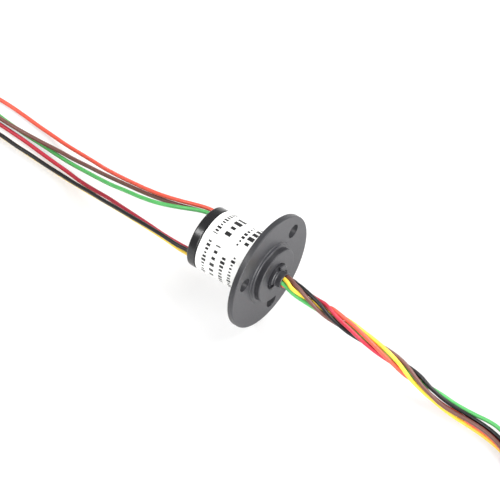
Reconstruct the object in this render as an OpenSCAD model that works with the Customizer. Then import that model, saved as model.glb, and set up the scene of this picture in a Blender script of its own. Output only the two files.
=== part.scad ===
// Miniature capsule slip ring with a mounting flange: six circuits, six leads at each end.
//
// X is the axis of rotation, with the origin on it, in the plane of the flange's mounting face.
// The barrel and the stator leads point to -X, the rotor neck and the rotor leads to +X, and Z is up.
// The slip ring lies on a surface: the flange stands on its rim, and both sets of leads come down
// to the surface and end in a small tied coil.

/* [Flange and housing] */
// Diameter of the mounting flange
flange_d = 24; // [23:0.5:26]
// Thickness of the mounting flange
flange_t = 1.25; // [1.1:0.05:1.6]
// Radius of the flange's rounded edges
flange_edge = 0.2; // [0.1:0.05:0.3]
// Diameter of the circle through the three mounting holes
bolt_circle_d = 18; // [17.5:0.25:18.5]
// Diameter of a mounting hole
bolt_hole_d = 2.9; // [2.2:0.1:3.2]
// Diameter of the boss that holds the front bearing
boss_d = 11.3; // [11:0.1:11.8]
// Height of the boss above the flange
boss_h = 1.6; // [1.4:0.05:1.8]
// Diameter of the low step round the foot of the boss
step_d = 13.2; // [12.6:0.1:13.8]
// Outside diameter of the barrel
barrel_d = 12.4; // [12.2:0.1:12.6]
// Length of the barrel behind the flange
barrel_l = 11.95; // [11.9:0.05:12]
// Wall thickness of the barrel
barrel_wall = 0.7; // [0.5:0.05:0.7]

/* [Label] */
// Thickness of the label film
label_t = 0.08; // [0.06:0.01:0.12]
// Length of the label along the barrel
label_l = 11.8; // [11:0.1:11.8]
// Angle over which the label's end lies on its start
label_overlap = 14; // [8:1:24]

/* [Rear cap] */
// Diameter of the cap's rim
cap_d = 12.5; // [12.3:0.1:12.7]
// Length of the cap's rim
cap_l = 1.8; // [1.6:0.1:2]
// Gap between the barrel's end and the cap's rim
cap_gap = 0.15; // [0.1:0.05:0.2]
// Diameter of a lead hole, which takes three leads
lead_hole_d = 2.2; // [2.1:0.05:2.3]
// Distance of a lead hole from the axis
lead_hole_r = 4.3; // [4.2:0.05:4.3]

/* [Rotor] */
// Number of circuits
circuits = 6; // [6]
// Diameter of the rotor neck where it leaves the boss
neck_d = 5.3; // [5.1:0.1:5.4]
// How far the neck's shoulder stands out of the boss
neck_h = 0.75; // [0.6:0.05:1]
// Diameter of the nose that the leads come out of
nose_d = 3.4; // [3.3:0.1:3.6]
// Length of the nose
nose_h = 1.25; // [1:0.05:1.5]
// Diameter of the bore that carries the leads
lead_bore_d = 2.8; // [2.7:0.05:2.9]
// Width of the four drive slots in the neck's shoulder
drive_slot_w = 1; // [0.8:0.1:1.2]
// Depth of the drive slots
drive_slot_deep = 0.5; // [0.3:0.05:0.55]
// Diameter of the core that carries the rings
core_d = 5; // [4.8:0.1:5.2]
// Outside diameter of a slip ring
ring_d = 7.4; // [7.2:0.1:7.6]
// Width of a slip ring
ring_w = 0.75; // [0.7:0.05:0.8]
// Depth of the brush groove in a slip ring
ring_groove = 0.3; // [0.2:0.05:0.3]
// Outside diameter of an insulating barrier
barrier_d = 8.4; // [8.2:0.1:8.4]
// Thickness of an insulating barrier
barrier_t = 0.5; // [0.45:0.05:0.5]

/* [Bearings] */
// Bore of the front bearing
front_bore = 6; // [6]
// Outside diameter of the front bearing
front_od = 10; // [10]
// Width of the front bearing
front_w = 2.5; // [2.5]
// Ball diameter of the front bearing
front_ball = 1.2; // [1.1:0.05:1.25]
// Number of balls in the front bearing
front_balls = 11; // [8:1:13]
// Bore of the rear bearing
rear_bore = 3; // [3]
// Outside diameter of the rear bearing
rear_od = 6; // [6]
// Width of the rear bearing
rear_w = 2; // [2]
// Ball diameter of the rear bearing
rear_ball = 0.8; // [0.7:0.05:0.85]
// Number of balls in the rear bearing
rear_balls = 9; // [7:1:11]

/* [Brushes] */
// Thickness of the gold-alloy spring wire
brush_t = 0.2; // [0.15:0.05:0.2]
// Width of the spring wire, along the axis
brush_w = 0.25; // [0.2:0.05:0.3]
// Running gap between a brush and its ring
brush_gap = 0.03; // [0.02:0.01:0.05]

/* [Leads] */
// Outside diameter of a lead
lead_d = 0.8; // [0.7:0.05:0.8]
// Whole length of a lead, with the part in its coil
lead_l = 250; // [250]
// Distance between neighbouring leads in the stator coil
lane_step = 0.82; // [0.82]
// Height that the stator coil's leads gain in a turn
lane_rise = 1; // [1]
// Thickness of a coil tie
tie_t = 0.3; // [0.25:0.05:0.35]
// Width of a coil tie
tie_w = 2.4; // [2:0.1:3]

/* [Hidden] */
$fn = 96;
fit = 0.02;                 // gap of a glued or slid joint
run = 0.07;                 // radial running clearance round the neck
barrel_r = barrel_d / 2;
cavity_r = barrel_r - barrel_wall;
label_r = barrel_r + label_t;
boss_face = flange_t + boss_h;
boss_wall = 1.2;            // thickness of the boss's front wall
bearing_front = boss_face - boss_wall;
bearing_rear = bearing_front - front_w;
shoulder_x = boss_face + neck_h;
nose_x = shoulder_x + nose_h;
potting_x = nose_x - 0.25;  // face of the resin inside the nose
floor_z = -flange_d / 2;
lead_r = lead_d / 2;
bed_z = floor_z + lead_r;   // centre of a lead that lies on the surface

cap_front = -(barrel_l + cap_gap);
cap_rear = cap_front - cap_l;
cap_wall = 1.5;             // thickness of the cap's end wall
cap_inside = cap_rear + cap_wall;
spigot_l = 1.5;
plug_x = cap_rear - 0.15;   // outer face of the resin in a lead hole
exit_angle = 30;            // angle of the upper lead hole above the +Y axis

collar_t = 0.5;             // collar of the shaft, which the front bearing's inner race seats on
collar_d = 7.2;
stack_x = bearing_rear - collar_t;
pitch = ring_w + barrier_t; // distance between neighbouring circuits
stack_l = circuits * ring_w + (circuits + 1) * barrier_t;
stack_rear = stack_x - stack_l;
rear_bearing_front = cap_inside + rear_w;
clip_x = cap_inside - 0.06;
clip_t = 0.3;
journal_rear = clip_x - clip_t - 0.2;
groove_r = ring_d / 2 - ring_groove;

LEADS = ["orange", "brown", "green", "crimson", "black", "yellow"];
LEAD_COLOURS = ["orangered", "sienna", "mediumseagreen", "crimson", "#181818", "gold"];

// Routes of the stator leads from the resin in the cap to the start of the stator coil. The upper
// three leave the hole at the top, and the lower three the one below. All drop to the surface.
STATOR_ROUTES = [
    [[-14.05, 4.2, 2.4], [-16, 4.1, 2.4], [-18, 3.7, 2.3], [-22, 2.9, 1.7], [-26, 2.5, 0.8],
     [-30, 2.7, -0.5], [-34, 3.3, -2.1], [-38, 4.1, -3.9], [-42, 5.1, -5.8], [-46, 6.3, -7.7],
     [-50, 7.3, -9.3], [-54, 8.1, -10.5], [-58, 8.8, -11.2], [-62, 9.3, -11.5], [-66, 9.8, -11.6],
     [-70, 10.1, -11.6], [-74, 10.1, -11.6], [-78, 9.7, -11.6], [-83, 9.2, -11.6]],
    [[-14.05, 3.7, 1.6], [-16, 3.6, 1.6], [-18, 3.2, 1.5], [-22, 2.4, 0.9], [-26, 2, 0.1],
     [-30, 2.1, -1.1], [-34, 2.6, -2.6], [-38, 3.2, -4.2], [-42, 3.9, -5.9], [-46, 4.7, -7.6],
     [-50, 5.3, -9], [-54, 5.8, -10], [-58, 5.9, -10.5], [-62, 5.9, -10.7], [-66, 5.9, -10.7],
     [-70, 6.2, -10.9], [-74, 6.95, -11.5], [-78, 7.5, -11.6], [-83, 7.56, -11.6]],
    [[-14.05, 3.3, 2.4], [-16, 3.1, 2.4], [-18, 2.5, 2.3], [-22, 1.2, 1.7], [-26, 0.5, 0.7],
     [-30, 0.6, -0.7], [-34, 1.1, -2.3], [-38, 1.7, -4.1], [-42, 2.6, -6], [-46, 3.6, -7.9],
     [-50, 4.5, -9.6], [-54, 5.3, -10.8], [-58, 5.9, -11.4], [-62, 6.2, -11.6], [-66, 6.5, -11.6],
     [-70, 7, -11.6], [-74, 7.8, -11.6], [-78, 8.3, -11.6], [-83, 8.38, -11.6]],
    [[-14.05, -3.2, -2.2], [-16, -3.2, -2.2], [-18, -3.2, -2.3], [-22, -2.9, -2.7], [-26, -2.2, -3.4],
     [-30, -1.4, -4.4], [-34, -0.5, -5.6], [-38, 0.5, -7], [-42, 1.3, -8.4], [-46, 2.1, -9.6],
     [-50, 3.1, -10.6], [-54, 3.8, -11.2], [-58, 4.4, -11.5], [-62, 4.9, -11.6], [-66, 5.2, -11.6],
     [-70, 5.5, -11.6], [-74, 6.05, -11.6], [-78, 6.6, -11.6], [-83, 6.74, -11.6]],
    [[-14.05, -3.9, -1.6], [-16, -3.9, -1.6], [-18, -4, -1.6], [-22, -3.6, -1.9], [-26, -3.1, -2.6],
     [-30, -2.5, -3.6], [-34, -1.7, -4.9], [-38, -0.9, -6.3], [-42, 0, -7.7], [-46, 0.7, -8.9],
     [-50, 1.4, -9.9], [-54, 1.9, -10.5], [-58, 2.3, -10.7], [-62, 2.5, -10.7], [-66, 2.9, -10.8],
     [-70, 3, -11.3], [-74, 3.9, -11.6], [-78, 4.8, -11.6], [-83, 5.1, -11.6]],
    [[-14.05, -4, -2.5], [-16, -3.9, -2.7], [-18, -3.6, -3.15], [-22, -3, -3.6], [-26, -2.4, -4.3],
     [-30, -1.7, -5.3], [-34, -0.9, -6.5], [-38, -0.1, -7.8], [-42, 0.6, -9], [-46, 1.3, -10.1],
     [-50, 1.9, -11], [-54, 2.4, -11.4], [-58, 2.7, -11.6], [-62, 3, -11.6], [-66, 3.3, -11.6],
     [-70, 3.9, -11.6], [-74, 4.9, -11.6], [-78, 5.75, -11.6], [-83, 5.92, -11.6]]];
stator_coil_at = [-83, -1.5];
inner_lane = 6.6;           // radius of the stator coil's innermost lead

// The middle of the twisted rotor leads, from the resin in the nose to the start of the rotor coil.
BUNDLE = [[4.6, 0, 0], [6, 0, 0], [8, -0.4, -0.1], [12.5, -0.6, -0.6], [16, -0.5, -1.3],
    [20, -0.35, -2.3],
    [25, -0.1, -3.9], [30, 0.3, -5.8], [33, 0.3, -7], [36, 0.25, -8.1], [39, 0.1, -9.1],
    [42, -0.1, -9.9], [45, -0.2, -10.4], [48, -0.35, -10.6], [51, -0.55, -10.6],
    [54, -0.95, -10.6], [57, -1.75, -10.6], [60, -3.05, -10.6], [64, -5.6, -10.65]];
// Where each lead lies in the twist: [x, angle from +Y towards +Z, distance from the middle].
TWIST = [
    [[4.6, -140, 0.92], [7, -105, 0.95], [9.2, -82, 0.99], [11.5, -76, 0.88], [13.5, -46, 0.93],
     [15.5, 16, 0.98], [18, 55, 0.97], [20.5, 73, 0.99], [23, 94, 0.88], [28, 149, 0.86],
     [32, 199, 0.86], [36, 267, 0.92], [38, 266, 0.99], [41, 270, 0.97], [44, 270, 0.45],
     [46, 265, 0], [48, 180, 0.3], [54, 178, 0.3], [64, 210, 0.95]],
    [[4.6, 40, 0.92], [7, 75, 0.95], [9.2, 96, 0.99], [11.5, 140, 0.88], [13.5, 170, 0.93],
     [15.5, 200, 0.98], [18, 235, 0.97], [20.5, 258, 0.99], [23, 310, 0.88], [28, 365, 0.86],
     [32, 415, 0.86], [36, 483, 0.92], [38, 498, 0.99], [41, 512, 0.97], [44, 505, 0.97],
     [48, 480, 0.97], [54, 480, 0.97], [64, 510, 0.95]],
    [[4.6, 160, 0.92], [7, 195, 0.95], [9.2, 217, 0.99], [11.5, 218, 0.88], [13.5, 245, 0.93],
     [15.5, 262, 0.98], [18, 292, 0.97], [20.5, 315, 0.45], [23, 345, 0], [28, 375, 0],
     [32, 380, 0], [36, 382, 0], [38, 384, 0.45], [41, 390, 0.97], [44, 390, 1.15],
     [48, 392, 1.55], [54, 395, 2.1], [64, 390, 0.95]],
    [[4.6, -80, 0.92], [7, -45, 0.95], [9.2, -18, 0.99], [11.5, -4, 0.88], [13.5, 26, 0.93],
     [15.5, 78, 0.98], [18, 115, 0.97], [20.5, 135, 0.99], [23, 166, 0.88], [28, 221, 0.86],
     [32, 271, 0.86], [36, 330, 0.92], [38, 325, 0.99], [41, 330, 0.97], [44, 331, 0.97],
     [48, 315, 0.97], [54, 318, 0.97], [64, 330, 0.95]],
    [[4.6, -20, 0.92], [7, 15, 0.95], [9.2, 42, 0.99], [11.5, 68, 0.88], [13.5, 98, 0.93],
     [15.5, 138, 0.98], [18, 175, 0.97], [20.5, 196, 0.99], [23, 238, 0.88], [28, 293, 0.86],
     [32, 343, 0.86], [36, 411, 0.92], [38, 443, 0.99], [41, 448, 0.97], [44, 442, 0.97],
     [48, 420, 0.97], [54, 418, 0.97], [64, 450, 0.95]],
    [[4.6, 100, 0.92], [7, 135, 0.95], [9.2, 155, 0.45], [11.5, 200, 0], [13.5, 270, 0],
     [15.5, 320, 0.45], [18, 348, 0.97], [20.5, 371, 0.99], [23, 382, 0.88], [28, 437, 0.86],
     [32, 487, 0.86], [36, 555, 0.92], [38, 565, 0.99], [41, 572, 0.97], [44, 570, 0.97],
     [48, 596, 0.97], [54, 596, 0.97], [64, 630, 0.95]]];
rotor_coil_at = [69.8, 2.65];
rotor_lane_r = [7.4, 10.1]; // inner and outer lane of the rotor coil
twist_r = 1.32;             // outside radius of the twisted leads in their coil
rotor_layers = 2.68;        // height between the rotor coil's two layers

NODES = concat(
    ["flange_housing", "label_wrap", "rear_cap",
     "front_bearing_outer_race", "front_bearing_balls", "front_bearing_cage",
     "rear_bearing_outer_race", "rear_bearing_balls", "rear_bearing_cage",
     "upper_brush_block", "lower_brush_block"],
    [for (i = [1:circuits]) str("brush_", i)],
    ["upper_lead_potting", "lower_lead_potting"],
    [for (name = LEADS) str("stator_lead_", name)],
    ["stator_coil", "stator_coil_tie",
     "rotor_shaft", "nose_potting", "front_bearing_inner_race", "rear_bearing_inner_race",
     "rear_spacer", "retaining_clip"],
    [for (i = [1:circuits]) str("slip_ring_", i)],
    [for (i = [1:circuits + 1]) str("barrier_", i)],
    [for (name = LEADS) str("rotor_lead_", name)],
    ["rotor_coil", "rotor_coil_tie"]);
node = "all";

// Turns a shape that is drawn round +Z so that its axis is +X.
module along_x() { rotate([0, 90, 0]) children(); }

// A ring or disc round the axis, from an outline in [radius, x].
module turned(outline) { along_x() rotate_extrude() polygon(outline); }

// A plain ring from x0 to x1.
module ring(r_in, r_out, x0, x1) {
    turned([[r_in, x0], [r_out, x0], [r_out, x1], [r_in, x1]]);
}

// A round hole or pin along the axis' direction, at [y, z].
module bar(r, x0, x1, at = [0, 0]) {
    translate([x0, at[0], at[1]]) along_x() cylinder(r = r, h = x1 - x0);
}

// Points of a quarter circle about c, from angle a to a + 90 * turn.
function arc(c, r, a, turn = 1, n = 5) =
    [for (i = [0:n]) c + r * [cos(a + turn * 90 * i / n), sin(a + turn * 90 * i / n)]];

// ---------------------------------------------------------------- stator: housing, label, cap

// Moulded in one piece: flange, bearing boss and barrel.
module flange_housing() {
    e = flange_edge;
    foot = 0.35;
    step = 0.2;
    relief = 0.15;          // shallow recess round the barrel's root, clear of the label's edge
    color("#33343a") difference() {
        turned(concat(
            [[cavity_r, -barrel_l], [barrel_r - 0.15, -barrel_l], [barrel_r, -barrel_l + 0.15],
             [barrel_r, relief], [barrel_r + 0.4, relief], [barrel_r + 0.4, 0]],
            arc([flange_d / 2 - e, e], e, -90),
            arc([flange_d / 2 - e, flange_t - e], e, 0),
            [[step_d / 2, flange_t], [step_d / 2 - 0.15, flange_t + step]],
            arc([boss_d / 2 + foot, flange_t + step + foot], foot, 270, -1),
            arc([boss_d / 2 - e, boss_face - e], e, 0),
            [[neck_d / 2 + run + 0.15, boss_face], [neck_d / 2 + run, boss_face - 0.15],
             [neck_d / 2 + run, bearing_front + 0.15], [4.1, bearing_front + 0.15],
             [4.1, bearing_front], [front_od / 2, bearing_front],
             [front_od / 2, bearing_rear], [cavity_r, bearing_rear]]));
        for (a = [30, 150, 270]) rotate([a, 0, 0])
            bar(bolt_hole_d / 2, -1, flange_t + 1, [bolt_circle_d / 2, 0]);
    }
}

// Printed film round the barrel, with its end lapped over its start.
module label_wrap() {
    color("white") union() {
        ring(barrel_r, label_r, -label_l, 0);
        rotate([200, 0, 0]) along_x() translate([0, 0, -label_l])
            rotate_extrude(angle = label_overlap)
                translate([label_r, 0]) square([label_t, label_l]);
    }
}

// Cap that closes the barrel and seats the rear bearing.
module rear_cap() {
    e = 0.3;
    spigot_r = 0.65;
    color("#202125") difference() {
        turned(concat(
            [[0, cap_rear], [cap_d / 2 - e, cap_rear]],
            arc([cap_d / 2 - e, cap_rear + e], e, -90),
            [[cap_d / 2, cap_front - 0.1], [cap_d / 2 - 0.1, cap_front],
             [barrel_r - 0.25, cap_front], [barrel_r - 0.25, -barrel_l],
             [cavity_r, -barrel_l], [cavity_r, -barrel_l + spigot_l - 0.2],
             [cavity_r - 0.2, -barrel_l + spigot_l],
             [cavity_r - spigot_r, -barrel_l + spigot_l], [cavity_r - spigot_r, cap_inside],
             [rear_od / 2 + 0.5, cap_inside], [rear_od / 2 + 0.5, rear_bearing_front],
             [rear_od / 2, rear_bearing_front], [rear_od / 2, cap_inside],
             [2.3, cap_inside], [2.3, cap_inside - 0.75], [0, cap_inside - 0.75]]));
        for (a = [exit_angle, exit_angle + 180]) rotate([a, 0, 0])
            bar(lead_hole_d / 2, cap_rear - 1, cap_inside + 0.1, [lead_hole_r, 0]);
    }
}

// Resin that seals three leads in their hole, standing a little proud of the cap.
module lead_potting(a) {
    color("#17181b") rotate([a, 0, 0]) translate([0, lead_hole_r, 0])
        turned([[0, plug_x], [lead_hole_d / 2 - 0.15, plug_x], [lead_hole_d / 2, cap_rear],
                [lead_hole_d / 2, cap_inside], [0, cap_inside]]);
}

// ---------------------------------------------------------------- bearings

// One race of a ball bearing: the groove's outline is cut round the pitch circle.
module race(r_in, r_out, x_rear, w, pitch_r, groove) {
    difference() {
        ring(r_in, r_out, x_rear, x_rear + w);
        translate([x_rear + w / 2, 0, 0]) along_x()
            rotate_extrude() translate([pitch_r, 0]) circle(r = groove, $fn = 48);
    }
}

module outer_race(bore, od, w, ball, x_rear) {
    pitch_r = (bore + od) / 4;
    color("silver") race(pitch_r + 0.28 * ball, od / 2, x_rear, w, pitch_r, ball / 2 + fit);
}

module inner_race(bore, od, w, ball, x_rear) {
    pitch_r = (bore + od) / 4;
    color("silver") race(bore / 2, pitch_r - 0.28 * ball, x_rear, w, pitch_r, ball / 2 + fit);
}

module balls(bore, od, w, ball, count, x_rear) {
    color("gainsboro") for (i = [0:count - 1]) rotate([i * 360 / count, 0, 0])
        translate([x_rear + w / 2, (bore + od) / 4, 0]) sphere(d = ball, $fn = 32);
}

// Crown that keeps the balls apart.
module cage(bore, od, w, ball, count, x_rear) {
    pitch_r = (bore + od) / 4;
    half = 0.2 * ball;
    color("goldenrod") difference() {
        ring(pitch_r - half, pitch_r + half, x_rear + 0.25, x_rear + w / 2 + 0.15 * ball);
        for (i = [0:count - 1]) rotate([i * 360 / count, 0, 0])
            translate([x_rear + w / 2, pitch_r, 0]) rotate([90, 0, 0])
                cylinder(d = ball + 3 * fit, h = ball, center = true);
    }
}

// ---------------------------------------------------------------- brushes

// Middle of circuit n's slip ring, counted from the flange.
function circuit_x(n) = stack_x - barrier_t - ring_w / 2 - (n - 1) * pitch;

block_low = barrier_d / 2 + 0.15;   // flat face of a brush block, over the barriers
block_out = cavity_r - fit;
slot_deep = 0.42;

// Moulded block that holds three brushes, bedded in the barrel's wall.
module brush_block(a, first) {
    slot_w = brush_w + 0.1;
    color("#b9703a") rotate([a, 0, 0]) difference() {
        intersection() {
            bar(block_out, stack_rear + 0.2, stack_x - 0.2);
            translate([stack_rear, block_low, -cavity_r])
                cube([stack_l, cavity_r, 2 * cavity_r]);
        }
        for (n = [first:2:circuits])
            translate([circuit_x(n) - slot_w / 2, block_low - 1, -cavity_r])
                cube([slot_w, 1 + slot_deep, 2 * cavity_r]);
    }
}

// A flat strip that follows a line of points, mitred at its bends.
function strip(line, t) = let (
        n = len(line),
        way = function (a, b) (b - a) / norm(b - a),
        side = [for (i = [0:n - 1]) let (
            d0 = way(line[max(i - 1, 0)], line[max(i, 1)]),
            d1 = way(line[min(i, n - 2)], line[min(i + 1, n - 1)]),
            m = (d0 + d1) / norm(d0 + d1))
            [-m[1], m[0]] * t / 2 / (m * d0)])
    concat([for (i = [0:n - 1]) line[i] + side[i]],
           [for (i = [n - 1:-1:0]) line[i] - side[i]]);

// Hairpin of spring wire: its arms touch the ring's groove on both sides.
module brush(n) {
    groove_side = ring_groove * pow(brush_w / (ring_w - 0.2), 2);
    reach = groove_r + groove_side + brush_gap + brush_t / 2;
    base = block_low + slot_deep - brush_t / 2;
    line = [[-reach, -1.4], [-reach, 1.9], [-1.5, base], [1.5, base], [reach, 1.9], [reach, -1.4]];
    a = n % 2 == 1 ? exit_angle : exit_angle + 180;
    color("gold") rotate([a, 0, 0]) translate([circuit_x(n) - brush_w / 2, 0, 0])
        rotate([90, 0, 90]) linear_extrude(brush_w)
            polygon([for (p = strip(line, brush_t)) [p[1], p[0]]]);
}

// ---------------------------------------------------------------- rotor

// Moulded shaft: nose and slotted neck, bearing seats, ring core and rear journal in one.
module rotor_shaft() {
    bore_r = lead_bore_d / 2;
    bore_end = stack_rear + 0.6;
    color("#1c1d20") difference() {
        turned([[0, journal_rear], [rear_bore / 2 - 0.1, journal_rear],
                [rear_bore / 2, journal_rear + 0.1],
                [rear_bore / 2, clip_x - clip_t], [rear_bore / 2 - 0.25, clip_x - clip_t],
                [rear_bore / 2 - 0.25, clip_x], [rear_bore / 2, clip_x],
                [rear_bore / 2, stack_rear], [core_d / 2, stack_rear],
                [core_d / 2, stack_x], [collar_d / 2, stack_x],
                [collar_d / 2, bearing_rear], [front_bore / 2, bearing_rear],
                [front_bore / 2, bearing_front - 0.1], [neck_d / 2, bearing_front - 0.1],
                [neck_d / 2, shoulder_x - 0.12], [neck_d / 2 - 0.12, shoulder_x],
                [nose_d / 2 + 0.1, shoulder_x], [nose_d / 2, shoulder_x + 0.1],
                [nose_d / 2, nose_x - 0.1], [nose_d / 2 - 0.1, nose_x],
                [bore_r, nose_x], [bore_r, bore_end], [0, bore_end]]);
        // Drive slots across the shoulder.
        for (a = [0:90:270]) rotate([a, 0, 0])
            translate([shoulder_x - drive_slot_deep, nose_d / 2 + 0.1, -drive_slot_w / 2])
                cube([1, neck_d, drive_slot_w]);
        // Slot that lets the ring wires into the bore.
        translate([bore_end, 0, -0.4]) cube([stack_x - bore_end - 0.3, core_d, 0.8]);
    }
}

// Resin that closes the nose round the six leads.
module nose_potting() {
    color("#101113") bar(lead_bore_d / 2, boss_face, potting_x);
}

// Gold-plated ring with a rounded brush groove.
module slip_ring(n) {
    x = circuit_x(n);
    half = ring_w / 2;
    color("gold") turned(concat(
        [[core_d / 2, x - half], [ring_d / 2, x - half], [ring_d / 2, x - half + 0.1]],
        [for (i = [-3:3]) [groove_r + ring_groove * pow(i / 3, 2), x + i / 3 * (half - 0.1)]],
        [[ring_d / 2, x + half], [core_d / 2, x + half]]));
}

// Insulating disc between two rings, thinner towards its edge.
module barrier(n) {
    x = stack_x - (n - 1) * pitch;
    color("#8a3b2b") turned([[core_d / 2, x - barrier_t], [ring_d / 2, x - barrier_t],
        [barrier_d / 2, x - barrier_t + 0.1], [barrier_d / 2, x - 0.1],
        [ring_d / 2, x], [core_d / 2, x]]);
}

// Bush that holds the ring stack off the rear bearing.
module rear_spacer() {
    color("#8a3b2b") ring(rear_bore / 2, 2, rear_bearing_front, stack_rear);
}

// Split ring in the journal's groove, behind the rear bearing.
module retaining_clip() {
    color("dimgray") difference() {
        ring(rear_bore / 2 - 0.25, 2, clip_x - clip_t, clip_x);
        translate([clip_x - 1, 0, -0.5]) cube([2, 3, 1]);
    }
}

// ---------------------------------------------------------------- leads

// A point on the smooth line through p, at u = 0 to len(p) - 1.
function on_line(p, u) = let (
        n = len(p),
        i = min(floor(u), n - 2),
        t = u - i,
        b = p[i],
        c = p[i + 1],
        a = i > 0 ? p[i - 1] : 2 * b - c,
        d = i + 2 < n ? p[i + 2] : 2 * c - b)
    (2 * b + (c - a) * t + (2 * a - 5 * b + 4 * c - d) * t * t
        + (3 * b - a - 3 * c + d) * t * t * t) / 2;

// Value k of a table of [x, ...] rows at x, eased between the rows.
function at_x(rows, x, k) = let (
        i = max([for (j = [0:len(rows) - 2]) if (j == 0 || rows[j][0] <= x) j]),
        p = [for (r = rows) [r[0], r[k]]],
        t = (x - rows[i][0]) / (rows[i + 1][0] - rows[i][0]))
    on_line(p, i + t)[1];

// The line of one rotor lead: the bundle's middle, moved out, square to the bundle, to the lead's
// place in the twist.
function rotor_line(k, steps) = [for (s = [0:steps]) let (
        last = len(BUNDLE) - 1,
        u = s / steps * last,
        m = on_line(BUNDLE, u),
        d = on_line(BUNDLE, min(u + 0.02, last)) - on_line(BUNDLE, max(u - 0.02, 0)),
        v = cross([0, 0, 1], d),
        side = v / norm(v),
        up = cross(d / norm(d), side),
        a = at_x(TWIST[k], m[0], 1),
        r = at_x(TWIST[k], m[0], 2))
    m + r * (cos(a) * side + sin(a) * up)];

// The line of one stator lead.
function stator_line(k, steps) =
    [for (s = [0:steps]) on_line(STATOR_ROUTES[k], s / steps * (len(STATOR_ROUTES[k]) - 1))];

// A round tube of eight sides along a line. Its first end is square to X.
module lead(line) {
    n = len(line);
    sides = 8;
    rings = [for (i = [0:n - 1]) let (
        d = i == 0 ? [sign(line[1][0] - line[0][0]), 0, 0] : line[min(i + 1, n - 1)] - line[i - 1],
        t = d / norm(d),
        v = cross([0, 0, 1], t),
        e = v / norm(v),
        f = cross(t, e))
        [for (j = [0:sides - 1]) line[i]
            + lead_r * (cos(360 * (j + 0.5) / sides) * e + sin(360 * (j + 0.5) / sides) * f)]];
    polyhedron(
        points = [for (r = rings) each r],
        faces = concat(
            [[for (j = [0:sides - 1]) j]],
            [for (i = [0:n - 2]) for (j = [0:sides - 1])
                [i * sides + j, (i + 1) * sides + j,
                 (i + 1) * sides + (j + 1) % sides, i * sides + (j + 1) % sides]],
            [[for (j = [sides - 1:-1:0]) (n - 1) * sides + j]]));
}

module stator_lead(k) { color(LEAD_COLOURS[k]) lead(stator_line(k, 34)); }

module rotor_lead(k) { color(LEAD_COLOURS[k]) lead(rotor_line(k, 42)); }

// The outer shape of a coil: a flat ring with rounded corners, notched below for its tie.
module coil(at, r_in, r_out, h, tie_angle) {
    e = 0.4;
    translate([at[0], at[1], floor_z]) difference() {
        rotate_extrude() polygon(concat(
            arc([r_in + e, e], e, 180), arc([r_out - e, e], e, 270),
            arc([r_out - e, h - e], e, 0), arc([r_in + e, h - e], e, 90)));
        rotate(tie_angle) translate([r_in - 1, -tie_w / 2, -1])
            cube([r_out - r_in + 2, tie_w, 1 + tie_t]);
    }
}

// A flat tie: a closed band round the coil's section.
module coil_tie(at, r_in, r_out, h, tie_angle) {
    gap_in = r_in - pow(tie_w / 2, 2) / 2 / r_in - fit;
    translate([at[0], at[1], floor_z]) rotate(tie_angle) rotate([90, 0, 0])
        linear_extrude(tie_w, center = true) difference() {
            translate([gap_in - tie_t, 0]) square([r_out - gap_in + 2 * tie_t + fit, h + 2 * tie_t]);
            translate([gap_in, tie_t]) square([r_out - gap_in + fit, h]);
        }
}

stator_coil_r = [inner_lane - lead_r, inner_lane + (circuits - 1) * lane_step + lead_r];
stator_coil_h = 5.2;
rotor_coil_r = [rotor_lane_r[0] - twist_r, rotor_lane_r[1] + twist_r];
rotor_coil_h = 2 * twist_r + rotor_layers;

module stator_coil() {
    color("#8c5048") coil(stator_coil_at, stator_coil_r[0], stator_coil_r[1], stator_coil_h, 270);
}

module stator_coil_tie() {
    color("#202125")
        coil_tie(stator_coil_at, stator_coil_r[0], stator_coil_r[1], stator_coil_h, 270);
}

module rotor_coil() {
    color("#8c5048") coil(rotor_coil_at, rotor_coil_r[0], rotor_coil_r[1], rotor_coil_h, 60);
}

module rotor_coil_tie() {
    color("#202125")
        coil_tie(rotor_coil_at, rotor_coil_r[0], rotor_coil_r[1], rotor_coil_h, 60);
}

// ---------------------------------------------------------------- nodes

function shown(name) = node == "all" || node == name;

if (shown("flange_housing")) flange_housing();
if (shown("label_wrap")) label_wrap();
if (shown("rear_cap")) rear_cap();
if (shown("front_bearing_outer_race")) outer_race(front_bore, front_od, front_w, front_ball, bearing_rear);
if (shown("front_bearing_balls")) balls(front_bore, front_od, front_w, front_ball, front_balls, bearing_rear);
if (shown("front_bearing_cage")) cage(front_bore, front_od, front_w, front_ball, front_balls, bearing_rear);
if (shown("rear_bearing_outer_race")) outer_race(rear_bore, rear_od, rear_w, rear_ball, cap_inside);
if (shown("rear_bearing_balls")) balls(rear_bore, rear_od, rear_w, rear_ball, rear_balls, cap_inside);
if (shown("rear_bearing_cage")) cage(rear_bore, rear_od, rear_w, rear_ball, rear_balls, cap_inside);
if (shown("upper_brush_block")) brush_block(exit_angle, 1);
if (shown("lower_brush_block")) brush_block(exit_angle + 180, 2);
for (i = [1:circuits]) if (shown(str("brush_", i))) brush(i);
if (shown("upper_lead_potting")) lead_potting(exit_angle);
if (shown("lower_lead_potting")) lead_potting(exit_angle + 180);
for (k = [0:circuits - 1]) if (shown(str("stator_lead_", LEADS[k]))) stator_lead(k);
if (shown("stator_coil")) stator_coil();
if (shown("stator_coil_tie")) stator_coil_tie();
if (shown("rotor_shaft")) rotor_shaft();
if (shown("nose_potting")) nose_potting();
if (shown("front_bearing_inner_race")) inner_race(front_bore, front_od, front_w, front_ball, bearing_rear);
if (shown("rear_bearing_inner_race")) inner_race(rear_bore, rear_od, rear_w, rear_ball, cap_inside);
if (shown("rear_spacer")) rear_spacer();
if (shown("retaining_clip")) retaining_clip();
for (i = [1:circuits]) if (shown(str("slip_ring_", i))) slip_ring(i);
for (i = [1:circuits + 1]) if (shown(str("barrier_", i))) barrier(i);
for (k = [0:circuits - 1]) if (shown(str("rotor_lead_", LEADS[k]))) rotor_lead(k);
if (shown("rotor_coil")) rotor_coil();
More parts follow.
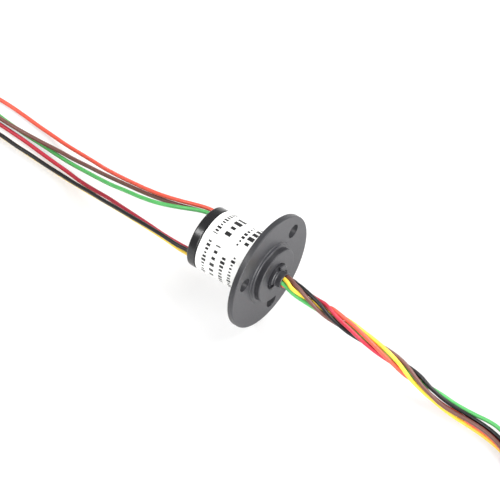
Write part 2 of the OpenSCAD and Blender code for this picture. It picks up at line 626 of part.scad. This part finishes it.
if (shown("rotor_coil_tie")) rotor_coil_tie();
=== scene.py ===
# %% [markdown]
# # A miniature slip ring
# A slip ring passes six circuits from a part that stands still to a part that turns. This one is a
# capsule: a small black barrel with a mounting flange, six coloured leads out of its back, and six
# more, twisted together, out of the turning neck at its front. It lies on a table, on the rim of its
# flange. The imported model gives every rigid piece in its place, so the lesson starts by loading it.

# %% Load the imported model
import math
import bmesh
import bpy
from mathutils import Matrix, Vector


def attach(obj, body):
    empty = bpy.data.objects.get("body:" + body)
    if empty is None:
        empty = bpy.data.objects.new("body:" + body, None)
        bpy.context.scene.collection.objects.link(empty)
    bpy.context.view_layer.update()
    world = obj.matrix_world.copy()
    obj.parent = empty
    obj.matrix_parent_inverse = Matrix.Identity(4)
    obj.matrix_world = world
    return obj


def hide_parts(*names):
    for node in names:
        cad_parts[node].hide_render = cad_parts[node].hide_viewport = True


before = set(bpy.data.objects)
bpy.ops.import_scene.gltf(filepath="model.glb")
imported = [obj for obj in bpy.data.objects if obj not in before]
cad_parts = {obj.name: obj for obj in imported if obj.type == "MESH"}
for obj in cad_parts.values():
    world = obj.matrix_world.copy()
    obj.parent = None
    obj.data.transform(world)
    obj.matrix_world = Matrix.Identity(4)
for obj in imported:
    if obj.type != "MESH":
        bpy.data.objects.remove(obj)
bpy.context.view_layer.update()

MM = 0.001
scene = bpy.context.scene

# %% [markdown]
# ## The camera
# Product pictures of small parts are taken from well above and from far off, which keeps parallel
# edges parallel. A long lens two metres away does the same. The three directions below are the
# camera's own axes: to its right, upwards in its picture, and back towards the viewer.

# %% Camera
def nothing_selected():
    if bpy.context.object and bpy.context.object.mode != "OBJECT":
        bpy.ops.object.mode_set(mode="OBJECT")
    bpy.ops.object.select_all(action="DESELECT")


CAMERA_AWAY = 2.0
VIEW_WIDTH = 95.06
SENSOR = 36
back = Vector((0.3746, -0.4636, 0.8030)).normalized()
right = Vector((0.8043, 0.5934, -0.0326)).normalized()
up = back.cross(right)
right = up.cross(back)
FLANGE_FACE = Vector((1.25, 0, 0))
look_at = (FLANGE_FACE - 3.753 * right + 4.238 * up) * MM

nothing_selected()
bpy.ops.object.camera_add(location=look_at + CAMERA_AWAY * back)
camera = bpy.context.object
camera.matrix_world = Matrix.Translation(camera.location) @ Matrix((right, up, back)).transposed().to_4x4()
camera.data.sensor_width = SENSOR
camera.data.lens = SENSOR * CAMERA_AWAY / (VIEW_WIDTH * MM)
camera.data.clip_start = 0.1
camera.data.clip_end = 20
scene.camera = camera
print("lens", round(camera.data.lens), "mm, aimed at", [round(c / MM, 2) for c in look_at])

# %% [markdown]
# ## The leads
# Each lead is a stranded, tinned copper wire in a coloured plastic sleeve, 0.8 mm thick and 250 mm
# long. The first stretch shows how it falls from the slip ring to the table. The rest is wound up
# in a small coil and tied, as it is delivered. A lead is one curve with a round bevel: the route's
# points are the model's own, and each point's handles follow the line through its neighbours, which
# is what makes the curve pass smoothly through every point.

# %% One lead along a row of points
LEAD_D = 0.8
LEAD_LENGTH = 250.0
LEADS = ("orange", "brown", "green", "crimson", "black", "yellow")


def smooth_curve(name, points, radius, corner=4, steps=8):
    """A round tube of one open spline through the points, in millimetres."""
    data = bpy.data.curves.new(name, "CURVE")
    data.dimensions = "3D"
    data.resolution_u = steps
    data.bevel_depth = radius * MM
    data.bevel_resolution = corner
    data.use_fill_caps = True
    spline = data.splines.new("BEZIER")
    spline.bezier_points.add(len(points) - 1)
    p = [Vector(q) * MM for q in points]
    p = [2 * p[0] - p[1]] + p + [2 * p[-1] - p[-2]]
    for i, knot in enumerate(spline.bezier_points, start=1):
        knot.handle_left_type = knot.handle_right_type = "FREE"
        knot.co = p[i]
        knot.handle_left = p[i] - (p[i + 1] - p[i - 1]) / 6
        knot.handle_right = p[i] + (p[i + 1] - p[i - 1]) / 6
    piece = bpy.data.objects.new(name, data)
    scene.collection.objects.link(piece)
    return piece


def on_line(p, u):
    """The point at u, from 0 to len(p) - 1, on the same smooth line."""
    i = min(int(u), len(p) - 2)
    t = u - i
    b, c = Vector(p[i]), Vector(p[i + 1])
    a = Vector(p[i - 1]) if i else 2 * b - c
    d = Vector(p[i + 2]) if i + 2 < len(p) else 2 * c - b
    return (2 * b + (c - a) * t + (2 * a - 5 * b + 4 * c - d) * t * t
            + (3 * b - a - 3 * c + d) * t ** 3) / 2


def line_length(points):
    """Length of the smooth line through the points."""
    dots = [on_line(points, i / 8) for i in range(8 * (len(points) - 1) + 1)]
    return sum((b - a).length for a, b in zip(dots, dots[1:]))


# %% Routes of the stator leads
# From the resin in the rear cap down to the table and on to the coil.
STATOR_ROUTES = {
    "orange": [(-14.05, 4.2, 2.4), (-16, 4.1, 2.4), (-18, 3.7, 2.3), (-22, 2.9, 1.7),
               (-26, 2.5, 0.8), (-30, 2.7, -0.5), (-34, 3.3, -2.1), (-38, 4.1, -3.9),
               (-42, 5.1, -5.8), (-46, 6.3, -7.7), (-50, 7.3, -9.3), (-54, 8.1, -10.5),
               (-58, 8.8, -11.2), (-62, 9.3, -11.5), (-66, 9.8, -11.6), (-70, 10.1, -11.6),
               (-74, 10.1, -11.6), (-78, 9.7, -11.6), (-83, 9.2, -11.6)],
    "brown": [(-14.05, 3.7, 1.6), (-16, 3.6, 1.6), (-18, 3.2, 1.5), (-22, 2.4, 0.9),
              (-26, 2, 0.1), (-30, 2.1, -1.1), (-34, 2.6, -2.6), (-38, 3.2, -4.2),
              (-42, 3.9, -5.9), (-46, 4.7, -7.6), (-50, 5.3, -9), (-54, 5.8, -10),
              (-58, 5.9, -10.5), (-62, 5.9, -10.7), (-66, 5.9, -10.7), (-70, 6.2, -10.9),
              (-74, 6.95, -11.5), (-78, 7.5, -11.6), (-83, 7.56, -11.6)],
    "green": [(-14.05, 3.3, 2.4), (-16, 3.1, 2.4), (-18, 2.5, 2.3), (-22, 1.2, 1.7),
              (-26, 0.5, 0.7), (-30, 0.6, -0.7), (-34, 1.1, -2.3), (-38, 1.7, -4.1),
              (-42, 2.6, -6), (-46, 3.6, -7.9), (-50, 4.5, -9.6), (-54, 5.3, -10.8),
              (-58, 5.9, -11.4), (-62, 6.2, -11.6), (-66, 6.5, -11.6), (-70, 7, -11.6),
              (-74, 7.8, -11.6), (-78, 8.3, -11.6), (-83, 8.38, -11.6)],
    "crimson": [(-14.05, -3.2, -2.2), (-16, -3.2, -2.2), (-18, -3.2, -2.3), (-22, -2.9, -2.7),
                (-26, -2.2, -3.4), (-30, -1.4, -4.4), (-34, -0.5, -5.6), (-38, 0.5, -7),
                (-42, 1.3, -8.4), (-46, 2.1, -9.6), (-50, 3.1, -10.6), (-54, 3.8, -11.2),
                (-58, 4.4, -11.5), (-62, 4.9, -11.6), (-66, 5.2, -11.6), (-70, 5.5, -11.6),
                (-74, 6.05, -11.6), (-78, 6.6, -11.6), (-83, 6.74, -11.6)],
    "black": [(-14.05, -3.9, -1.6), (-16, -3.9, -1.6), (-18, -4, -1.6), (-22, -3.6, -1.9),
              (-26, -3.1, -2.6), (-30, -2.5, -3.6), (-34, -1.7, -4.9), (-38, -0.9, -6.3),
              (-42, 0, -7.7), (-46, 0.7, -8.9), (-50, 1.4, -9.9), (-54, 1.9, -10.5),
              (-58, 2.3, -10.7), (-62, 2.5, -10.7), (-66, 2.9, -10.8), (-70, 3, -11.3),
              (-74, 3.9, -11.6), (-78, 4.8, -11.6), (-83, 5.1, -11.6)],
    "yellow": [(-14.05, -4, -2.5), (-16, -3.9, -2.7), (-18, -3.6, -3.15), (-22, -3, -3.6),
               (-26, -2.4, -4.3), (-30, -1.7, -5.3), (-34, -0.9, -6.5), (-38, -0.1, -7.8),
               (-42, 0.6, -9), (-46, 1.3, -10.1), (-50, 1.9, -11), (-54, 2.4, -11.4),
               (-58, 2.7, -11.6), (-62, 3, -11.6), (-66, 3.3, -11.6), (-70, 3.9, -11.6),
               (-74, 4.9, -11.6), (-78, 5.75, -11.6), (-83, 5.92, -11.6)],
}
STATOR_COIL = Vector((-83, -1.5))
LANE_RISE = 1.0
KNOTS_A_TURN = 20


def wound_lead(route):
    """The route, then a helix for the rest of the lead's length, each lead in a lane of its own."""
    lane = route[-1][1] - STATOR_COIL.y
    turn = 2 * math.pi * math.hypot(lane, LANE_RISE / 2 / math.pi)
    turns = (LEAD_LENGTH - line_length(route)) / turn
    knots = round(turns * KNOTS_A_TURN)
    points = list(route)
    for i in range(1, knots + 1):
        angle = math.radians(90) + 2 * math.pi * turns * i / knots
        points.append((STATOR_COIL.x + lane * math.cos(angle),
                       STATOR_COIL.y + lane * math.sin(angle),
                       route[-1][2] + LANE_RISE * turns * i / knots))
    return points, turns


stator_leads, stator_points = {}, {}
for name in LEADS:
    points, turns = wound_lead(STATOR_ROUTES[name])
    stator_points[name] = points
    stator_leads[name] = smooth_curve("stator_lead_" + name + "_wire", points, LEAD_D / 2)
    print(name, "stator lead:", round(turns, 2), "turns,", round(line_length(points), 1), "mm")

# %% [markdown]
# On the rotor side the six leads are twisted together. Such a bundle is easiest to make from its
# middle line and, for each lead, a short table of where it lies round that line. One lead always
# sits in the core of the other five, and which one it is changes along the way, as in a bundle that
# was twisted by hand.

# %% The twisted bundle
BUNDLE = [(4.6, 0, 0), (6, 0, 0), (8, -0.4, -0.1), (12.5, -0.6, -0.6),
          (16, -0.5, -1.3), (20, -0.35, -2.3), (25, -0.1, -3.9), (30, 0.3, -5.8),
          (33, 0.3, -7), (36, 0.25, -8.1), (39, 0.1, -9.1), (42, -0.1, -9.9),
          (45, -0.2, -10.4), (48, -0.35, -10.6), (51, -0.55, -10.6), (54, -0.95, -10.6),
          (57, -1.75, -10.6), (60, -3.05, -10.6), (64, -5.6, -10.65)]
# Rows of x, angle from +Y towards +Z, and distance from the middle.
TWIST = {
    "orange": [
        (4.6, -140, 0.92), (7, -105, 0.95), (9.2, -82, 0.99), (11.5, -76, 0.88), (13.5, -46, 0.93),
        (15.5, 16, 0.98), (18, 55, 0.97), (20.5, 73, 0.99), (23, 94, 0.88), (28, 149, 0.86),
        (32, 199, 0.86), (36, 267, 0.92), (38, 266, 0.99), (41, 270, 0.97), (44, 270, 0.45),
        (46, 265, 0), (48, 180, 0.3), (54, 178, 0.3), (64, 210, 0.95)],
    "brown": [
        (4.6, 40, 0.92), (7, 75, 0.95), (9.2, 96, 0.99), (11.5, 140, 0.88), (13.5, 170, 0.93),
        (15.5, 200, 0.98), (18, 235, 0.97), (20.5, 258, 0.99), (23, 310, 0.88), (28, 365, 0.86),
        (32, 415, 0.86), (36, 483, 0.92), (38, 498, 0.99), (41, 512, 0.97), (44, 505, 0.97),
        (48, 480, 0.97), (54, 480, 0.97), (64, 510, 0.95)],
    "green": [
        (4.6, 160, 0.92), (7, 195, 0.95), (9.2, 217, 0.99), (11.5, 218, 0.88), (13.5, 245, 0.93),
        (15.5, 262, 0.98), (18, 292, 0.97), (20.5, 315, 0.45), (23, 345, 0), (28, 375, 0),
        (32, 380, 0), (36, 382, 0), (38, 384, 0.45), (41, 390, 0.97), (44, 390, 1.15),
        (48, 392, 1.55), (54, 395, 2.1), (64, 390, 0.95)],
    "crimson": [
        (4.6, -80, 0.92), (7, -45, 0.95), (9.2, -18, 0.99), (11.5, -4, 0.88), (13.5, 26, 0.93),
        (15.5, 78, 0.98), (18, 115, 0.97), (20.5, 135, 0.99), (23, 166, 0.88), (28, 221, 0.86),
        (32, 271, 0.86), (36, 330, 0.92), (38, 325, 0.99), (41, 330, 0.97), (44, 331, 0.97),
        (48, 315, 0.97), (54, 318, 0.97), (64, 330, 0.95)],
    "black": [
        (4.6, -20, 0.92), (7, 15, 0.95), (9.2, 42, 0.99), (11.5, 68, 0.88), (13.5, 98, 0.93),
        (15.5, 138, 0.98), (18, 175, 0.97), (20.5, 196, 0.99), (23, 238, 0.88), (28, 293, 0.86),
        (32, 343, 0.86), (36, 411, 0.92), (38, 443, 0.99), (41, 448, 0.97), (44, 442, 0.97),
        (48, 420, 0.97), (54, 418, 0.97), (64, 450, 0.95)],
    "yellow": [
        (4.6, 100, 0.92), (7, 135, 0.95), (9.2, 155, 0.45), (11.5, 200, 0), (13.5, 270, 0),
        (15.5, 320, 0.45), (18, 348, 0.97), (20.5, 371, 0.99), (23, 382, 0.88), (28, 437, 0.86),
        (32, 487, 0.86), (36, 555, 0.92), (38, 565, 0.99), (41, 572, 0.97), (44, 570, 0.97),
        (48, 596, 0.97), (54, 596, 0.97), (64, 630, 0.95)],
}
ROTOR_COIL = Vector((69.8, 2.65))
ROTOR_LANES = (7.4, 10.1)
BED, LAYER = -10.68, 2.68
RING = 0.92
TWIST_PER_MM = 12.0
BUNDLE_STEPS = 42
COIL_STEP = 15
# Rows of angle wound, lane radius and height: out to in on the table, up, and back out on top.
WINDING = [(0, 10.1, BED), (285, 10.1, BED), (360, 7.4, BED), (585, 7.4, BED),
           (650, 7.4, BED + LAYER), (870, 7.4, BED + LAYER), (945, 10.1, BED + LAYER),
           (1400, 10.1, BED + LAYER)]


def at_x(rows, x, k):
    """Column k of a table at x, eased between its rows."""
    i = max(j for j in range(len(rows) - 1) if j == 0 or rows[j][0] <= x)
    t = (x - rows[i][0]) / (rows[i + 1][0] - rows[i][0])
    return on_line([(r[0], r[k]) for r in rows], i + t)[1]


def eased(rows, x):
    """Columns 1 and 2 of a table at x, with a soft step between its rows."""
    for a, b in zip(rows, rows[1:]):
        if x <= b[0]:
            t = (x - a[0]) / (b[0] - a[0])
            t = t * t * (3 - 2 * t)
            return [p + (q - p) * t for p, q in zip(a[1:], b[1:])]


def beside(middle, way, angle, distance):
    """A point beside the bundle's middle, square to its way."""
    side = Vector((0, 0, 1)).cross(way).normalized()
    return middle + distance * (math.cos(angle) * side + math.sin(angle) * way.cross(side))


def bundled_lead(rows):
    """A lead's points along the bundle, and on round its coil until its length is used up."""
    points, last = [], len(BUNDLE) - 1
    for i in range(BUNDLE_STEPS + 1):
        u = i / BUNDLE_STEPS * last
        middle = on_line(BUNDLE, u)
        way = (on_line(BUNDLE, min(u + 0.02, last)) - on_line(BUNDLE, max(u - 0.02, 0))).normalized()
        points.append(beside(middle, way, math.radians(at_x(rows, middle.x, 1)),
                             at_x(rows, middle.x, 2)))
    start = math.atan2(BUNDLE[-1][1] - ROTOR_COIL.y, BUNDLE[-1][0] - ROTOR_COIL.x)
    turned, gone, before = 0.0, 0.0, Vector(BUNDLE[-1])
    phase = math.radians(rows[-1][1])
    used = line_length(points)
    while used < LEAD_LENGTH:
        turned += COIL_STEP
        radius, height = eased(WINDING, turned)
        angle = start + math.radians(turned)
        middle = Vector((ROTOR_COIL.x + radius * math.cos(angle),
                         ROTOR_COIL.y + radius * math.sin(angle), height))
        gone += (middle - before).length
        way = Vector((-math.sin(angle), math.cos(angle), 0))
        points.append(beside(middle, way, phase + math.radians(TWIST_PER_MM * gone), RING))
        used += (points[-1] - points[-2]).length * 1.005
        before = middle
    return points, turned


rotor_leads, rotor_points = {}, {}
for name in LEADS:
    points, turned = bundled_lead(TWIST[name])
    # The last step is cut to the lead's exact length.
    over = line_length(points) - LEAD_LENGTH
    step = points[-1] - points[-2]
    points[-1] = points[-2] + step * max(0.2, 1 - over / step.length)
    rotor_points[name] = points
    rotor_leads[name] = smooth_curve("rotor_lead_" + name + "_wire", points, LEAD_D / 2)
    print(name, "rotor lead:", round(turned), "degrees,", round(line_length(points), 1), "mm")

# %% [markdown]
# Each curve becomes a mesh tube and takes the place of the plain tube and coil that stand
# for it in the model.

# %% Stripped and tinned ends
def joined(name, parts):
    """The parts as one object, each with its material."""
    nothing_selected()
    for part in parts:
        part.select_set(True)
    bpy.context.view_layer.objects.active = parts[0]
    bpy.ops.object.convert(target="MESH")
    if len(parts) > 1:
        bpy.ops.object.join()
    parts[0].name = name
    return parts[0]


STRAND_D, BARE = 0.16, 3.0


def tinned_end(name, points):
    """Seven strands, six of them laid round the middle one, where the sleeve is cut back."""
    start = Vector(points[-1])
    along = (start - Vector(points[-2])).normalized()
    side = along.orthogonal().normalized()
    other = along.cross(side)
    strands = []
    for k in range(7):
        reach = 0 if k == 0 else STRAND_D
        line = []
        for i in range(7):
            angle = math.radians(60 * k + 25 * i)
            line.append(start + along * (BARE * i / 6 - 0.2)
                        + reach * (math.cos(angle) * side + math.sin(angle) * other))
        strands.append(smooth_curve(name + "_strand", line, STRAND_D / 2, corner=2, steps=2))
    return joined(name, strands)


lead_points = {"stator": stator_points, "rotor": rotor_points}
tips = []
for side, leads in (("stator", stator_leads), ("rotor", rotor_leads)):
    for name in LEADS:
        points = lead_points[side][name]
        piece = joined(leads[name].name, [leads[name]])
        bpy.ops.object.shade_smooth()
        tip = tinned_end(side + "_lead_" + name + "_bare_end", points)
        bpy.ops.object.shade_smooth()
        tips.append(tip)
        for part in (piece, tip):
            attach(part, side)
        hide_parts(side + "_lead_" + name, side + "_coil")
print(len(tips), "leads declared, each with a bare end")

# %% [markdown]
# ## Cable ties
# The model's ties are plain bands. A real one has a head that the tail is pulled through, so each
# band gets one, on top of its coil: a small block with rounded edges and a sunk slot.

# %% Tie heads
def tie_head(name, body, centre, turn):
    """A cable tie's head, its tail slot across the band."""
    nothing_selected()
    bpy.ops.mesh.primitive_cube_add(size=1, location=centre * MM, rotation=(0, 0, math.radians(turn)))
    head = bpy.context.object
    head.name = name
    head.scale = (3.6 * MM, 3.4 * MM, 1.9 * MM)
    bpy.ops.object.transform_apply(location=True, rotation=True, scale=True)
    bpy.ops.object.mode_set(mode="EDIT")
    mesh = bmesh.from_edit_mesh(head.data)
    for face in mesh.faces:
        face.select = face.normal.z > 0.9
    bpy.ops.mesh.inset(thickness=0.55 * MM)
    bpy.ops.mesh.extrude_region_move(TRANSFORM_OT_translate={"value": (0, 0, -0.9 * MM)})
    bpy.ops.object.mode_set(mode="OBJECT")
    soft = head.modifiers.new("rounded edges", "BEVEL")
    soft.width = 0.18 * MM
    soft.segments = 3
    bpy.ops.object.modifier_apply(modifier=soft.name)
    bpy.ops.object.shade_smooth_by_angle(angle=math.radians(40))
    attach(head, body)
    return head


heads = [tie_head("stator_tie_head", "stator", Vector((-83, -10.1, -5.3)), 90),
         tie_head("rotor_tie_head", "rotor", Vector((74.2, 10.2, -5.2)), 60)]
print([head.name for head in heads])

# %% [markdown]
# ## Materials
# A colour is written as the hex value that a maker's chart would give, and one function turns it
# into the linear colour that Blender wants. Another one adds a node with its settings and links.

# %% Colour and node helpers
def hex_colour(code):
    """An sRGB hex value as linear red, green, blue and alpha."""
    parts = [int(code[i:i + 2], 16) / 255 for i in (1, 3, 5)]
    return tuple(c / 12.92 if c <= 0.04045 else ((c + 0.055) / 1.055) ** 2.4 for c in parts) + (1,)


def add_node(material, kind, settings=None, links=None):
    """Adds a node. Settings go to its properties or to inputs, links to its inputs."""
    node = material.node_tree.nodes.new(kind)
    for key, value in (settings or {}).items():
        if isinstance(key, str) and hasattr(node, key):
            setattr(node, key, value)
        else:
            node.inputs[key].default_value = value
    for key, source in (links or {}).items():
        material.node_tree.links.new(source, node.inputs[key])
    return node


def new_material(name, colour, **sockets):
    """A material with its shader's own sockets set. Returns it with its shader."""
    material = bpy.data.materials.new(name)
    material.use_nodes = True
    shader = material.node_tree.nodes["Principled BSDF"]
    shader.inputs["Base Color"].default_value = hex_colour(colour)
    for key, value in sockets.items():
        shader.inputs[key.replace("_", " ")].default_value = value
    return material, shader


def link(material, source, target):
    material.node_tree.links.new(source, target)


def place(material, stretch=(1, 1, 1)):
    """The object's own coordinates in millimetres, stretched along an axis for marks that run."""
    here = add_node(material, "ShaderNodeTexCoord")
    scaled = add_node(material, "ShaderNodeMapping", {"Scale": [s / MM for s in stretch]},
                      {"Vector": here.outputs["Object"]})
    return scaled.outputs[0]


def surface(material, shader, size, rough, bump, stretch=(1, 1, 1), colours=None):
    """Grain of a size in millimetres: it sways roughness, presses a bump and mottles the colour."""
    grain = add_node(material, "ShaderNodeTexNoise", {"Scale": 1 / size, "Detail": 4.0},
                     {"Vector": place(material, stretch)})
    sway = add_node(material, "ShaderNodeMapRange", {3: rough[0], 4: rough[1]},
                    {0: grain.outputs["Fac"]})
    link(material, sway.outputs[0], shader.inputs["Roughness"])
    press = add_node(material, "ShaderNodeBump", {"Strength": bump, "Distance": size * MM * 0.2},
                     {"Height": grain.outputs["Fac"]})
    link(material, press.outputs[0], shader.inputs["Normal"])
    if colours:
        patches = add_node(material, "ShaderNodeTexNoise", {"Scale": 0.35 / size, "Detail": 2.0},
                           {"Vector": place(material, stretch)})
        tint = add_node(material, "ShaderNodeMix", {"data_type": "RGBA", 6: hex_colour(colours[0]),
                                                    7: hex_colour(colours[1])},
                        {0: patches.outputs["Fac"]})
        link(material, tint.outputs[2], shader.inputs["Base Color"])
    return grain


def dress(material, *names):
    """Gives the material to nodes of the model."""
    for name in names:
        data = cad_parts[name].data
        data.materials.clear()
        data.materials.append(material)


# %% [markdown]
# The housing and the shaft are moulded in black PBT with a fine spark-eroded grain, the rear cap
# comes from a polished tool and is glossier.

# %% Moulded plastics
housing, s = new_material("PBT, moulded, spark-eroded grain", "#29292c")
surface(housing, s, 0.25, (0.36, 0.5), 0.25, colours=("#242427", "#303034"))
dress(housing, "flange_housing", "rotor_shaft")
cap, s = new_material("PBT, moulded in a polished tool", "#0c0c0e")
surface(cap, s, 0.9, (0.24, 0.33), 0.12, colours=("#0b0b0d", "#131316"))
dress(cap, "rear_cap")
block, s = new_material("PEI, moulded brush block", "#3a2a18")
surface(block, s, 0.3, (0.35, 0.5), 0.2, colours=("#35260f", "#443019"))
dress(block, "upper_brush_block", "lower_brush_block")
insulator, s = new_material("glass-filled nylon, turned barrier", "#e4dfd0")
surface(insulator, s, 0.15, (0.4, 0.6), 0.3, (6, 1, 1), ("#ddd7c6", "#ebe7da"))
dress(insulator, *["barrier_" + str(i) for i in range(1, 8)])

print("plastics:", [m.name for m in (housing, cap, block, insulator)])

# %% [markdown]
# Turned metals carry rings round the axis, so their grain is squeezed along X. Ground steel is
# smoother than the brass cages, and the ring and brush gold is the smoothest of all.

# %% Metals
steel, s = new_material("bearing steel, ground", "#c4c5c8", Metallic=1.0)
surface(steel, s, 0.12, (0.18, 0.34), 0.15, (8, 1, 1), ("#bcbec2", "#cdced0"))
dress(steel, "front_bearing_outer_race", "front_bearing_inner_race", "rear_bearing_outer_race",
      "rear_bearing_inner_race", "front_bearing_balls", "rear_bearing_balls", "retaining_clip")
brass, s = new_material("brass, pressed and tumbled", "#c8a04f", Metallic=1.0)
surface(brass, s, 0.3, (0.28, 0.45), 0.25, colours=("#bd9342", "#d1ab5c"))
dress(brass, "front_bearing_cage", "rear_bearing_cage", "rear_spacer")
gold, s = new_material("gold alloy, plated on turned brass", "#e3b95c", Metallic=1.0)
surface(gold, s, 0.1, (0.12, 0.26), 0.1, (8, 1, 1), ("#dcb050", "#ebc673"))
dress(gold, *["slip_ring_" + str(i) for i in range(1, 7)], *["brush_" + str(i) for i in range(1, 7)])
tinned, s = new_material("copper strand, tinned", "#bfc1c4", Metallic=1.0)
surface(tinned, s, 0.2, (0.25, 0.45), 0.3, colours=("#b0b3b8", "#cfd0d2"))
for tip in tips:
    tip.data.materials.append(tinned)

print("metals:", [m.name for m in (steel, brass, gold, tinned)])

# %% [markdown]
# The resin round the leads is a black two-part epoxy. It sets with a soft skin and a few pits.

# %% Resin and nylon
resin, s = new_material("epoxy resin, cast", "#101012", Coat_Weight=0.3)
surface(resin, s, 0.7, (0.22, 0.42), 0.5, colours=("#0e0e10", "#19191c"))
dress(resin, "upper_lead_potting", "lower_lead_potting", "nose_potting")
nylon, s = new_material("nylon 66 tie, moulded, natural", "#e9e6dc", Subsurface_Weight=0.1)
surface(nylon, s, 0.35, (0.35, 0.5), 0.2, colours=("#e2dfd2", "#f0eee6"))
dress(nylon, "stator_coil_tie", "rotor_coil_tie")
for head in heads:
    head.data.materials.append(nylon)

print("cast and moulded:", [m.name for m in (resin, nylon)])

# %% [markdown]
# ## The label
# The label is a white polyester film wrapped round the barrel. Its print is given as rows of plain
# bars that run round the barrel, as wide and as dark as print is from a step away, and it says
# nothing. A row is a band in x and in the angle round the axis, cut into cells. In each cell a
# random number sets how wide and how tall its bar is.

# %% Label film with printed bars
film, s = new_material("polyester label film, white, printed", "#fbfbf9")
surface(film, s, 0.6, (0.32, 0.42), 0.06, colours=("#f8f8f5", "#fdfdfc"))


def maths(material, operation, a, b=0.0):
    """One sum of two numbers or sockets."""
    node = add_node(material, "ShaderNodeMath", {"operation": operation})
    for k, value in enumerate((a, b)):
        if isinstance(value, (int, float)):
            node.inputs[k].default_value = value
        else:
            link(material, value, node.inputs[k])
    return node.outputs[0]


# Middle and height of the row in x, first and last angle, and the cell's angle.
PRINT = [(-10.0, 0.85, 36, 108, 7.0), (-10.0, 0.8, 122, 200, 7.5),
         (-7.7, 1.5, 50, 104, 15.0), (-8.0, 1.25, 124, 196, 13.0),
         (-4.85, 0.62, 52, 112, 8.5), (-5.9, 0.85, 134, 200, 8.0),
         (-3.35, 1.15, 44, 102, 13.0), (-3.9, 0.75, 124, 204, 7.0)]
axes = add_node(film, "ShaderNodeSeparateXYZ", None, {0: place(film)})
turn = maths(film, "DEGREES", maths(film, "ARCTAN2", axes.outputs[2], axes.outputs[1]))
turn = maths(film, "MODULO", maths(film, "ADD", turn, 360.0), 360.0)
ink = 0.0
for row, (middle, height, first, last, cell) in enumerate(PRINT):
    cells = maths(film, "DIVIDE", turn, cell)
    seed = maths(film, "ADD", maths(film, "FLOOR", cells), 37.0 * row)
    luck = add_node(film, "ShaderNodeTexWhiteNoise", {"noise_dimensions": "1D"}, {"W": seed})
    wide = maths(film, "MULTIPLY_ADD", luck.outputs[0], 0.16)
    wide.node.inputs[2].default_value = 0.2
    tall = add_node(film, "ShaderNodeMapRange", {3: 0.30, 4: 0.62},
                    {0: luck.outputs[0]}).outputs[0]
    off_bar = maths(film, "ABSOLUTE", maths(film, "SUBTRACT", maths(film, "FRACT", cells), 0.5))
    off_row = maths(film, "ABSOLUTE", maths(film, "SUBTRACT", axes.outputs[0], middle))
    off_run = maths(film, "ABSOLUTE", maths(film, "SUBTRACT", turn, (first + last) / 2))
    bar = maths(film, "LESS_THAN", off_bar, wide)
    bar = maths(film, "MULTIPLY", bar,
                maths(film, "LESS_THAN", off_row, maths(film, "MULTIPLY", tall, height)))
    bar = maths(film, "MULTIPLY", bar, maths(film, "LESS_THAN", off_run, (last - first) / 2))
    ink = maths(film, "MAXIMUM", ink, bar)
paper = s.inputs["Base Color"].links[0].from_socket
printed = add_node(film, "ShaderNodeMix", {"data_type": "RGBA", 7: hex_colour("#141416")},
                   {0: ink, 6: paper})
link(film, printed.outputs[2], s.inputs["Base Color"])
dress(film, "label_wrap")
print(len(PRINT), "rows of bars")

# %% [markdown]
# ## Lead sleeves
# The sleeves are extruded PTFE: a satin skin with faint marks along it, and a colour that drifts a
# little from batch to batch.

# %% Sleeves
SLEEVES = {"orange": ("#e04a35", "#e9604c"), "brown": ("#65403a", "#744e46"),
           "green": ("#45a554", "#5dbb68"), "crimson": ("#ab2236", "#c03347"),
           "black": ("#0a090a", "#121113"), "yellow": ("#efc433", "#f7d550")}
for name in LEADS:
    sleeve, s = new_material("PTFE sleeve, extruded, " + name, SLEEVES[name][0])
    surface(sleeve, s, 0.35, (0.3, 0.42), 0.12, (0.3, 1, 1), SLEEVES[name])
    stator_leads[name].data.materials.append(sleeve)
    rotor_leads[name].data.materials.append(sleeve)

print(len(SLEEVES), "sleeve colours on", len(stator_leads) + len(rotor_leads), "leads")

# %% [markdown]
# ## Table and light
# A white sweep and soft light from all round, with one large lamp above, one low in front that
# lifts the flange's face, and a small one behind the cap that lays a soft highlight along it.

# %% Table
TABLE_Z = -12.02
GLOW = 0.55
nothing_selected()
bpy.ops.mesh.primitive_plane_add(size=4, location=(0, 0, TABLE_Z * MM))
table = bpy.context.object
table.name = "table"
bpy.ops.object.transform_apply(location=True, rotation=True, scale=True)
white, s = new_material("white paper sweep", "#f4f4f4", Roughness=0.9)
rays = add_node(white, "ShaderNodeLightPath")
glow = add_node(white, "ShaderNodeEmission", {"Color": hex_colour("#fbfbfb"), "Strength": 1.0})
half = add_node(white, "ShaderNodeMath", {"operation": "MULTIPLY", 1: GLOW},
                {0: rays.outputs["Is Camera Ray"]})
both = add_node(white, "ShaderNodeMixShader", None,
                {0: half.outputs[0], 1: s.outputs[0], 2: glow.outputs[0]})
link(white, both.outputs[0], white.node_tree.nodes["Material Output"].inputs[0])
table.data.materials.append(white)

# %% Light
world = bpy.data.worlds.new("studio")
scene.world = world
world.use_nodes = True
world.node_tree.nodes["Background"].inputs["Color"].default_value = (1, 1, 1, 1)
world.node_tree.nodes["Background"].inputs["Strength"].default_value = 0.55


def area_lamp(name, location, size, watts):
    """A square lamp that looks at the object."""
    nothing_selected()
    bpy.ops.object.light_add(type="AREA", location=location)
    lamp = bpy.context.object
    lamp.name = name
    lamp.data.size = size
    lamp.data.energy = watts
    lamp.rotation_euler = (-lamp.location).to_track_quat("-Z", "Y").to_euler()


area_lamp("key", (0.25, 0.35, 0.6), 0.5, 6)
area_lamp("flange face", (0.55, -0.2, 0.12), 0.3, 5)
area_lamp("cap highlight", (-0.27, -0.33, 0.56), 0.13, 1.6)
scene.view_settings.view_transform = "Standard"
print("three lamps and a", GLOW, "share of glow on the table")
